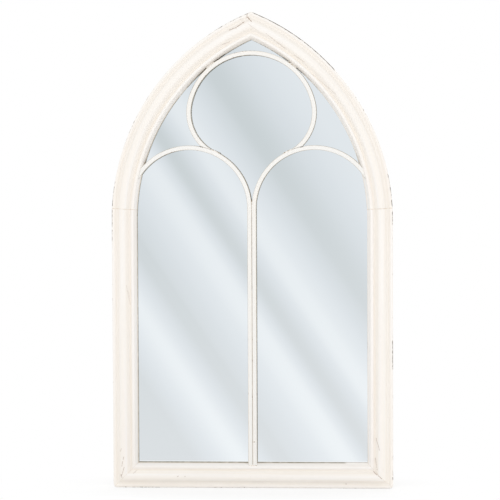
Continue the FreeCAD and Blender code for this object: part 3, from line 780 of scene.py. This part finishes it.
# along each rail in metres, as (start, end, strength): chips, then painted shade on the lip
railMarks = {
    "left_stile": (
        [(0.565, 0.640, 0.85), (0.60, 0.64, 0.7), (0.33, 0.37, 0.2)],
        [(-1, 0.66, 0.50)],
    ),
    "right_stile": (
        [(0.275, 0.330, 0.95), (0.60, 0.64, 0.5), (0.02, 0.08, 0.35)],
        [(0.0, 0.04, 0.2)],
    ),
    "left_arch_rail": (
        [(0.0, 0.055, 0.75), (0.12, 0.20, 0.35), (0.44, 0.53, 0.55)],
        [(-1, 0.30, 0.46), (0.34, 0.60, 0.52), (0.375, 0.42, 0.80)],
    ),
    "right_arch_rail": (
        [(0.01, 0.065, 0.75), (0.33, 0.53, 1.25), (0.18, 0.24, 0.3)],
        [(0.49, 0.60, 0.15)],
    ),
    "bottom_rail": (
        [(0.025, 0.060, 0.55), (0.070, 0.100, 0.60), (0.24, 0.30, 0.25), (0.52, 0.60, 0.3)],
        [(-1, 0.47, 0.80), (0.30, 0.57, 0.66)],
    ),
}


def strengthAt(along, stretches):
    soft = moulding["wearFade"]
    value = 0.0
    for start, end, strength in stretches:
        risen = smoothStep(start - soft, start, along)
        fallen = 1 - smoothStep(end, end + soft, along)
        value = max(value, strength * risen * fallen)
    return value


def railShares(length):
    # even shares of a length, with two close stations at each end for the seam's groove
    count = math.ceil(length / moulding["railStep"])
    shares = [k / count for k in range(count + 1)]
    close = [moulding["seamWidth"] * 0.35 / length, moulding["seamWidth"] / length]
    return sorted(set(shares + close + [1 - c for c in close]))


def buildRail(name, node, locate, length, seed, seams, roundEnd=None):
    # locate(share, inset, height) gives a point, and seams has a strength for each end
    m = moulding
    driftAlong, driftAcross, driftShare = m["drift"]
    rippleAlong, rippleAcross, rippleShare = m["ripple"]
    swayAlong, swayAcross, swayShare = m["sway"]
    shares = railShares(length)
    points, places, worn, hidden, seamShare, shaded = [], [], [], [], [], []
    for share in shares:
        along = share * length
        calm = smoothStep(0.0, m["calmEnd"], min(along, length - along))
        dip, atSeam = 0.0, 0.0
        for gap, strength in zip((along, length - along), seams):
            dip = max(dip, (1 - smoothStep(0.0, m["seamWidth"], gap)) * m["seamDip"] * strength)
            atSeam = max(atSeam, (1 - smoothStep(0.0, m["seamLine"], gap)) * strength)
        # the chips, and the strength of the painted shade on the lip
        chipped, lipShade = (strengthAt(along, marks) for marks in railMarks[node])
        for inset, height, inside in section:
            drift = noise.noise(Vector((along * driftAlong, inset * driftAcross, seed)))
            ripple = noise.noise(Vector((along * rippleAlong, inset * rippleAcross, seed + 7)))
            sway = noise.noise(Vector((along * swayAlong, seed, inset * swayAcross)))
            lift = (drift * driftShare + ripple * rippleShare - 0.5) * m["wobble"] * calm
            shift = (sway + 0.6) * m["wobble"] * swayShare * calm
            raised = height - m["lowered"] * smoothStep(m["loweredFrom"], m["loweredTo"], height)
            inward = inset
            if not inside:
                if height > m["boardBack"]:
                    raised += lift
                if height > m["boardBack"] + 0.002:
                    inward += shift * smoothStep(0.050, 0.0, inset)
                if height > m["outerBeadHeight"] - 0.002:
                    raised -= dip
            points.append(locate(share, inward, raised))
            places.append((along, inset, height))
            worn.append(chipped)
            shaded.append(lipShade)
            hidden.append(inside)
            seamShare.append(0.0 if inside else atSeam)
    if roundEnd:
        points = [roundEnd(p) for p in points]
    piece = newPiece(name, points, tubeFaces(len(shares), len(section)), m["creaseAngle"])
    mesh = piece.data
    record = mesh.attributes.new("railPlace", "FLOAT_VECTOR", "POINT")
    record.data.foreach_set("vector", [v for p in places for v in p])
    records = {"railWear": worn, "railInside": hidden, "railSeam": seamShare, "railShade": shaded}
    for label, values in records.items():
        record = mesh.attributes.new(label, "FLOAT", "POINT")
        record.data.foreach_set("value", values)
    mesh.materials.append(creamFrame)
    keep(piece, "frame_paint", node)


def cornerRounder(side):
    # bends the square corner, and all that runs round it, into arcs; tighter next to the wall
    def move(point):
        forward = smoothStep(outline["cornerFrom"], outline["cornerTo"], -point[1])
        radius = outline["cornerRound"] + (outline["cornerFront"] - outline["cornerRound"]) * forward
        centre = Vector((side * (outline["halfWidth"] - radius), radius))
        offset = Vector((point[0], point[2])) - centre
        if offset.x * side <= 0 or offset.y >= 0:
            return point
        offset = offset.normalized() * max(abs(offset.x), abs(offset.y))
        return (centre.x + offset.x, point[1], centre.y + offset.y)

    return move


def onArch(side, radius, angle):
    # (x, z) at an angle round the centre of that side's arch
    x = -centreShift + radius * math.cos(angle)
    return side * x, outline["springHeight"] + radius * math.sin(angle)


def stileLocate(side):
    straight = outline["springHeight"]
    arcLength = outline["archRadius"] * seamAngle
    bend = straight / (straight + arcLength)

    def locate(share, inset, height):
        if share <= bend:
            z = inset + (straight - inset) * share / bend
            return (side * (outline["halfWidth"] - inset), -height, z)
        angle = seamAngle * (share - bend) / (1 - bend)
        x, z = onArch(side, outline["archRadius"] - inset, angle)
        return (x, -height, z)

    return locate, straight + arcLength


def archLocate(side):
    def locate(share, inset, height):
        radius = outline["archRadius"] - inset
        top = math.acos(centreShift / radius)
        x, z = onArch(side, radius, seamAngle + (top - seamAngle) * share)
        return (x, -height, z)

    middle = outline["archRadius"] - outline["middleInset"]
    return locate, middle * (math.acos(centreShift / middle) - seamAngle)


def bottomLocate(share, inset, height):
    reachAcross = outline["halfWidth"] - inset
    return (reachAcross * (2 * share - 1), -height, inset)


cornerMoves = {side: cornerRounder(side) for side in (-1, 1)}
for side, hand in ((-1, "left"), (1, "right")):
    buildRail(
        f"{hand}StileMoulding", f"{hand}_stile", *stileLocate(side), seed=3.1 + side,
        seams=(0.45, 0.7), roundEnd=cornerMoves[side],
    )
    buildRail(
        f"{hand}ArchMoulding", f"{hand}_arch_rail", *archLocate(side), seed=5.3 + side,
        seams=(0.7, 0.12),
    )
buildRail(
    "bottomMoulding", "bottom_rail", bottomLocate, 2 * outline["halfWidth"], seed=9.7,
    seams=(0.45, 0.45), roundEnd=lambda p: cornerMoves[1](cornerMoves[-1](p)),
)
print("rails made")


def newTree(name, sizes):
    # a geometry tree that reads a path, some sizes and a material
    tree = bpy.data.node_groups.new(name, "GeometryNodeTree")
    newSocket(tree, "INPUT", "Geometry", "Geometry")
    for label, default in sizes.items():
        newSocket(tree, "INPUT", label, "Float", default)
    newSocket(tree, "INPUT", "Material", "Material")
    newSocket(tree, "OUTPUT", "Geometry", "Geometry")
    return tree, newNode(tree, "NodeGroupInput").outputs


def finishTree(tree, geometry, given):
    realized = newNode(tree, "GeometryNodeRealizeInstances", {0: geometry})
    feeds = {"Geometry": realized.outputs[0], "Material": given["Material"]}
    coloured = newNode(tree, "GeometryNodeSetMaterial", feeds)
    newNode(tree, "NodeGroupOutput", {"Geometry": coloured.outputs[0]})


def resampled(tree, given):
    feeds = {"Curve": given["Geometry"], "Length": given["Step"]}
    return newNode(tree, "GeometryNodeResampleCurve", feeds, mode="LENGTH").outputs[0]


def seededNoise(tree, given, scale):
    spot = newNode(tree, "GeometryNodeInputPosition").outputs[0]
    feeds = {"Vector": spot, "W": given["Seed"], "Scale": scale}
    return newNode(tree, "ShaderNodeTexNoise", feeds, noise_dimensions="4D").outputs


def caught(tree, geometry, kind, value):
    # keeps a value with the points, so that it lasts through the sweep
    made = newNode(tree, "GeometryNodeCaptureAttribute", domain="POINT")
    made.capture_items.new(kind, "Kept")
    feed(tree, made.inputs["Geometry"], geometry)
    feed(tree, made.inputs["Kept"], value)
    return made.outputs["Geometry"], made.outputs["Kept"]


def sweptAlong(tree, curve, profile, scale=None):
    feeds = {"Curve": curve, "Profile Curve": profile, "Scale": scale, "Fill Caps": True}
    return newNode(tree, "GeometryNodeCurveToMesh", feeds).outputs[0]


def runTree(name, points, tree, **values):
    # a path through the points, with the tree run on it and baked
    data = bpy.data.curves.new(f"{name}Path", "CURVE")
    data.dimensions = "3D"
    spline = data.splines.new("POLY")
    spline.points.add(len(points) - 1)
    for target, point in zip(spline.points, points):
        target.co = (*point, 1)
    path = placed(f"{name}Path", data)
    modifier = path.modifiers.new("shape", "NODES")
    modifier.node_group = tree
    sockets = {item.name: item.identifier for item in tree.interface.items_tree if item.in_out == "INPUT"}
    for label, value in values.items():
        modifier[sockets[label]] = value
    return baked(path, name)


# a bar of rounded section along a path that lies parallel to the wall
barTree, given = newTree(
    "barAlongPath",
    {
        "Width": bars["width"],
        "Depth": bars["depth"],
        "Edge Round": bars["round"],
        "Step": bars["step"],
        "Wander": bars["wander"],
        "Seed": 0.0,
    },
)
feeds = {"Curve": resampled(barTree, given), "Normal": (0, -1, 0)}
facing = newNode(barTree, "GeometryNodeSetCurveNormal", feeds, mode="FREE")
# the hand-bent bar wanders a little from its line
stray = vectorNode(barTree, "SUBTRACT", seededNoise(barTree, given, 14)["Color"], (0.5, 0.5, 0.5))
stray = vectorNode(barTree, "MULTIPLY", stray, (1, 0, 1))
feeds = {"Geometry": facing.outputs[0], "Offset": scaledBy(barTree, stray, given["Wander"])}
moved = newNode(barTree, "GeometryNodeSetPosition", feeds)
lengthWay = newNode(barTree, "GeometryNodeSplineParameter").outputs["Length"]
line, along = caught(barTree, moved.outputs[0], "FLOAT", lengthWay)
feeds = {"Width": given["Depth"], "Height": given["Width"]}
box = newNode(barTree, "GeometryNodeCurvePrimitiveQuadrilateral", feeds, mode="RECTANGLE")
feeds = {"Curve": box.outputs[0], "Count": 3, "Radius": given["Edge Round"]}
rounded = newNode(barTree, "GeometryNodeFilletCurve", feeds, mode="POLY")
ownSpot = newNode(barTree, "GeometryNodeInputPosition").outputs[0]
profile, spot = caught(barTree, rounded.outputs[0], "VECTOR", ownSpot)
depthWay, acrossWay, _ = apart(barTree, spot)
feeds = {
    "Geometry": sweptAlong(barTree, line, profile),
    "Name": "barPlace",  # (across, depth, along) inside the bar
    "Value": together(barTree, acrossWay, depthWay, along),
}
stored = newNode(
    barTree, "GeometryNodeStoreNamedAttribute", feeds, data_type="FLOAT_VECTOR", domain="POINT"
)
finishTree(barTree, stored.outputs[0], given)

# a lumpy weld bead along a path
weldTree, given = newTree("weldBead", {"Radius": 0.0016, "Lumps": 0.5, "Step": 0.0009, "Seed": 0.0})
lump = minus(weldTree, seededNoise(weldTree, given, 330)[0], 0.5)
swell = times(weldTree, lump, given["Lumps"])
factor = newNode(weldTree, "GeometryNodeSplineParameter").outputs["Factor"]
taper = times(weldTree, factor, minus(weldTree, 1, factor), 4)
taper = mathNode(weldTree, "POWER", taper, 0.3)
girth = plus(weldTree, times(weldTree, plus(weldTree, swell, 1), taper), 0.05)
feeds = {"Curve": resampled(weldTree, given), "Radius": girth}
sized = newNode(weldTree, "GeometryNodeSetCurveRadius", feeds).outputs[0]
feeds = {"Resolution": 10, "Radius": given["Radius"]}
circle = newNode(weldTree, "GeometryNodeCurvePrimitiveCircle", feeds, mode="RADIUS").outputs[0]
finishTree(weldTree, sweptAlong(weldTree, sized, circle, girth), given)

# where the bars run
barMiddle = -(bars["back"] + bars["depth"] / 2)
lightShift = bars["lightRadius"] + bars["width"] / 2
lightSpring = outline["springHeight"] + bars["lightRise"]
lipRadius = outline["archRadius"] - moulding["faceWidth"]
lipFront = moulding["seatHeight"] + moulding["lipWall"]
ringReach = lipRadius - bars["weldGap"] - bars["ringRadius"] - bars["width"] / 2
ringHeight = outline["springHeight"] + math.sqrt(ringReach**2 - centreShift**2)

# the cutters reach past whatever they cut
cutters = {
    "archFrom": -4,  # degrees
    "archSweep": 72,
    "archSteps": 60,
    "bottomReach": 0.3,
    "back": 0.002,
    "front": 0.030,
    "outer": 0.010,
    "arcStep": 0.0006,
    "discSteps": 160,
    "discFront": -0.04,
}


def barArc(x, z, radius, start, end):
    points = arcPoints((x, z), radius, start, end, bars["pathStep"])
    return [(px, barMiddle, pz) for px, pz in points]


def lipCutter(name, locate, shares):
    # the space on the frame's side of the lip, one weld gap clear of it
    c, m, gap = cutters, moulding, bars["weldGap"]
    edge = m["faceWidth"] + gap
    bead = (m["innerBeadInset"], m["innerBeadHeight"])
    _, lipNormal = mouldingSkin(0, 0.001)
    loop = arcPoints(bead, m["beadRadius"] + gap, math.pi / 2, lipNormal, c["arcStep"])
    loop += [(edge, lipFront), (edge, c["back"]), (c["outer"], c["back"]), (c["outer"], c["front"])]
    points = [locate(share, inset, height) for share in shares for inset, height in loop]
    return newPiece(name, points, tubeFaces(len(shares), len(loop)))


def archCutter(side):
    def locate(share, inset, height):
        angle = math.radians(cutters["archFrom"] + cutters["archSweep"] * share)
        x, z = onArch(side, outline["archRadius"] - inset, angle)
        return (x, -height, z)

    steps = cutters["archSteps"]
    return lipCutter("archLipCutter", locate, [k / steps for k in range(steps + 1)])


def bottomCutter():
    def locate(share, inset, height):
        return (cutters["bottomReach"] * (2 * share - 1), -height, inset)

    return lipCutter("bottomLipCutter", locate, [0, 1])


def discCutter(side):
    # the light arch's outer edge, which the ring's end sits on
    radius = bars["lightRadius"] + bars["width"] / 2 + bars["weldGap"]
    count = cutters["discSteps"]
    points = []
    for y in (cutters["discFront"], 0.0):
        for k in range(count):
            a = 2 * math.pi * k / count
            points.append((side * lightShift + radius * math.cos(a), y, lightSpring + radius * math.sin(a)))
    return newPiece("discCutter", points, tubeFaces(2, count))


def makeBar(name, node, points, seed, shapes):
    # the bar, with its ends coped to what it meets
    piece = runTree(name, points, barTree, Seed=seed, Material=creamBar)
    piece.name = f"{name}Long"
    for shape in shapes:
        modifier = piece.modifiers.new("cope", "BOOLEAN")
        modifier.operation = "DIFFERENCE"
        modifier.solver = "MANIFOLD"  # it keeps barPlace on the points, which EXACT clears
        modifier.object = shape
    result = baked(piece, name)
    for shape in shapes:
        bpy.data.objects.remove(shape)
    smooth(result.data, moulding["creaseAngle"])
    keep(result, "bar_paint", node)


halfBar = bars["width"] / 2
sweep = math.radians(bars["lightSweep"])
for side, hand in ((-1, "left"), (1, "right")):
    low = bars["footLow"] if side < 0 else bars["mullionSeam"]
    line = [(side * halfBar, barMiddle, low), (side * halfBar, barMiddle, lightSpring)]
    start, end = (0, sweep) if side < 0 else (math.pi, math.pi - sweep)
    line += barArc(side * lightShift, lightSpring, bars["lightRadius"], start, end)[1:]
    shapes = [archCutter(side)] + ([bottomCutter()] if side < 0 else [])
    makeBar(f"{hand}LightBar", f"{hand}_light_bar", line, 2.0 + side, shapes)
footTop = bars["mullionSeam"] - bars["seamGap"]
line = [(halfBar, barMiddle, bars["footLow"]), (halfBar, barMiddle, footTop)]
makeBar("rightMullionFoot", "right_mullion_foot", line, 8.0, [bottomCutter()])

# the flanks touch both the ring's round arc and the light arches
flankRise = math.radians(bars["flankElevation"])
handover = Vector((math.cos(flankRise), math.sin(flankRise))) * bars["ringRadius"]
toLight = Vector((lightShift, lightSpring - ringHeight))
towards = toLight.dot(handover) / bars["ringRadius"]
flankRadius = ((handover - toLight).length_squared - bars["lightRadius"] ** 2) / (
    2 * (bars["lightRadius"] + bars["ringRadius"] - towards)
)
flankCentre = handover * (1 - flankRadius / bars["ringRadius"])
downToLight = math.atan2(*reversed(toLight - flankCentre))
flankSweep = flankRise - downToLight - math.radians(bars["toeAngle"])
flankX, flankZ = flankCentre.x, ringHeight + flankCentre.y
toe = barArc(flankX, flankZ, flankRadius, flankRise - flankSweep, flankRise)
crown = barArc(0, ringHeight, bars["ringRadius"], flankRise, math.pi - flankRise)
mirrorToe = [(-px, py, pz) for px, py, pz in reversed(toe)]
line = toe + crown[1:] + mirrorToe[1:]
makeBar("oculusRing", "oculus_ring", line, 5.0, [discCutter(-1), discCutter(1)])
print("tracery made")

welds = {
    "front": bars["back"] + bars["depth"] - 0.0006,
    "ringTurns": (-1.5, -0.75, 0, 0.75, 1.5),  # degrees along the lip
    "ringOut": 0.0004,
    "ringProud": 0.0045,
    "ringRadius": 0.0021,
    "crotchReach": 0.012,
    "crotchSunk": 0.0010,
    "crotchRadius": 0.00143,
    "topRise": 0.018,
    "topLength": 0.026,
    "topSunk": 0.0016,
    "lineRadius": 0.0013,
    "seamFrom": 0.0008,
    "seamTo": 0.0096,
    "seamSlant": 0.0004,
    "seamRadius": 0.0011,
    "footReach": 0.0105,
    "footDrop": 0.0062,
    "footHeight": 0.0222,
}


def levelPath(start, end, height):
    return [(x, -height, z) for x, z in (start, *divided(start, end, 8), end)]


def weldOn(name, points, radius, lumps, seed):
    bead = runTree(name, points, weldTree, Radius=radius, Lumps=lumps, Seed=seed, Material=creamWeld)
    smooth(bead.data, 60)
    keep(bead, "bar_paint")


ringBearing = math.degrees(math.acos(centreShift / ringReach))
for side, hand in ((-1, "left"), (1, "right")):
    # where the ring rests against the lip
    angles = [math.radians(ringBearing + turn) for turn in welds["ringTurns"]]
    touch = [onArch(side, lipRadius + welds["ringOut"], angle) for angle in angles]
    seat = [(x, -(lipFront + welds["ringProud"]), z) for x, z in touch]
    weldOn(f"{hand}RingWeld", seat, welds["ringRadius"], 0.7, 1.0 + side)
    # in the crotch between the ring's foot and the light arch
    light = Vector((side * lightShift, lightSpring))
    away = Vector((flankX * side, flankZ)) - light
    foot = light + away.normalized() * (bars["lightRadius"] + halfBar)
    reach = Vector((-away.y, away.x)).normalized() * welds["crotchReach"]
    path = levelPath(foot - reach, foot + reach, welds["front"] - welds["crotchSunk"])
    weldOn(f"{hand}CrotchWeld", path, welds["crotchRadius"], 0.6, 4.0 + side)
top = lightSpring + welds["topRise"]
path = levelPath((0, top - welds["topLength"]), (0, top), welds["front"] - welds["topSunk"])
weldOn("mullionTopWeld", path, welds["lineRadius"], 0.5, 7.0)
seam = bars["mullionSeam"]
low, high = (welds["seamFrom"], seam), (welds["seamTo"], seam + welds["seamSlant"])
path = levelPath(low, high, welds["front"])
weldOn("mullionSeamWeld", path, welds["seamRadius"], 0.6, 8.0)
top = moulding["faceWidth"] - welds["footDrop"]
path = levelPath((-welds["footReach"], top), (welds["footReach"], top), welds["footHeight"])
weldOn("mullionFootWeld", path, welds["lineRadius"], 0.6, 9.0)
print("welds made")

# the CAD pieces that show as they are get their own finishes
finishes = {
    "mirror_glass": streakedMirror,
    "seat_tape": blackFelt,
    "backing_board": hardboard,
    "apex_plate": plateSteel,
}
for hand in ("left", "right"):
    finishes[f"{hand}_hanger_plate"] = plateSteel
    finishes[f"{hand}_corner_plate"] = plateSteel
    finishes[f"{hand}_bumper"] = bumperRubber
for name, node in nodes.items():
    finish = finishes.get(name, springSteel if "_clip" in name else None)
    if finish is None:
        continue
    if not node.material_slots:
        node.data.materials.append(finish)
    for slot in node.material_slots:
        slot.material = finish
print("CAD pieces finished")

stage = {
    "floorSize": 3.2,
    "floorColour": linear(250, 249, 248),
    "floorRoughness": 0.9,
    "shadowSquash": (0.9, 3.0, 0),
    "shadowNear": 0.24,
    "shadowReach": 0.30,
    "shadowShown": 0.72,
    "worldDiffuse": 0.92,
}


def seenBehind(tree):
    # 1 where the camera, a mirror or clear glass sees this, so that it makes a white background
    path = newNode(tree, "ShaderNodeLightPath").outputs
    return larger(tree, path["Is Camera Ray"], path["Is Glossy Ray"], path["Is Transmission Ray"])


def whiteShader(tree, kind, strength):
    return newNode(tree, kind, {"Color": (1, 1, 1, 1), "Strength": strength}).outputs[0]


def mixShaders(tree, share, first, second):
    return newNode(tree, "ShaderNodeMixShader", {"Fac": share, 1: first, 2: second}).outputs[0]


half = stage["floorSize"]
corners = [(x * half, y * half, 0) for x, y in ((-1, -1), (1, -1), (1, 1), (-1, 1))]
floor = newPiece("studioFloor", corners, [(0, 1, 2, 3)])
material, tree, surface = newMaterial("studioFloor")
surface.inputs["Base Color"].default_value = stage["floorColour"]
surface.inputs["Roughness"].default_value = stage["floorRoughness"]
flattened = vectorNode(tree, "MULTIPLY", objectPlace(tree), stage["shadowSquash"])
away = vectorNode(tree, "LENGTH", flattened, None, 1)
near = stage["shadowNear"]
fade = mapRange(tree, away, near, near + stage["shadowReach"], stage["shadowShown"], 1.0)
share = times(tree, seenBehind(tree), fade)
blend = mixShaders(tree, share, surface.outputs[0], whiteShader(tree, "ShaderNodeEmission", 1.0))
output = next(n for n in tree.nodes if n.type == "OUTPUT_MATERIAL")
link(tree, blend, output.inputs["Surface"])
floor.data.materials.append(material)

world = bpy.data.worlds.new("studio")
scene.world = world
world.use_nodes = True
tree = world.node_tree
tree.nodes.clear()
soft = whiteShader(tree, "ShaderNodeBackground", stage["worldDiffuse"])
white = whiteShader(tree, "ShaderNodeBackground", 1.0)
blend = mixShaders(tree, seenBehind(tree), soft, white)
newNode(tree, "ShaderNodeOutputWorld", {"Surface": blend})

target = Vector((0, 0, 0.50))
lamps = [
    # name, place, size, power
    ("keyLamp", (-2.3, -2.6, 2.3), 1.8, 13.0),
    ("fillLamp", (2.4, -2.9, 0.3), 2.2, 20.0),
    ("backLamp", (1.2, 2.8, 2.2), 2.0, 20.0),
]
for name, place, size, power in lamps:
    lampData = bpy.data.lights.new(name, "AREA")
    lampData.size = size
    lampData.energy = power
    lamp = placed(name, lampData)
    lamp.location = place
    lamp.rotation_euler = (target - Vector(place)).to_track_quat("-Z", "Y").to_euler()

view = {
    "place": (0.34, -4.2, 0.78),
    "yaw": 2.382,  # degrees, as the next two
    "pitch": 2.169,
    "roll": -0.149,
    "lens": 133.5,
    "sensor": 36,
    "shiftX": -0.1503,
    "shiftY": -0.07,
    "clipEnd": 50,
}
cameraData = bpy.data.cameras.new("camera")
camera = placed("camera", cameraData)
turn = Matrix.Rotation(math.radians(view["yaw"]), 4, "Z")
turn = turn @ Matrix.Rotation(math.radians(90 - view["pitch"]), 4, "X")
turn = turn @ Matrix.Rotation(math.radians(view["roll"]), 4, "Z")
camera.matrix_world = Matrix.Translation(view["place"]) @ turn
cameraData.lens = view["lens"]
cameraData.sensor_width = view["sensor"]
cameraData.shift_x = view["shiftX"]
cameraData.shift_y = view["shiftY"]
cameraData.clip_end = view["clipEnd"]
scene.camera = camera
scene.view_settings.view_transform = "Standard"
print("stage set")
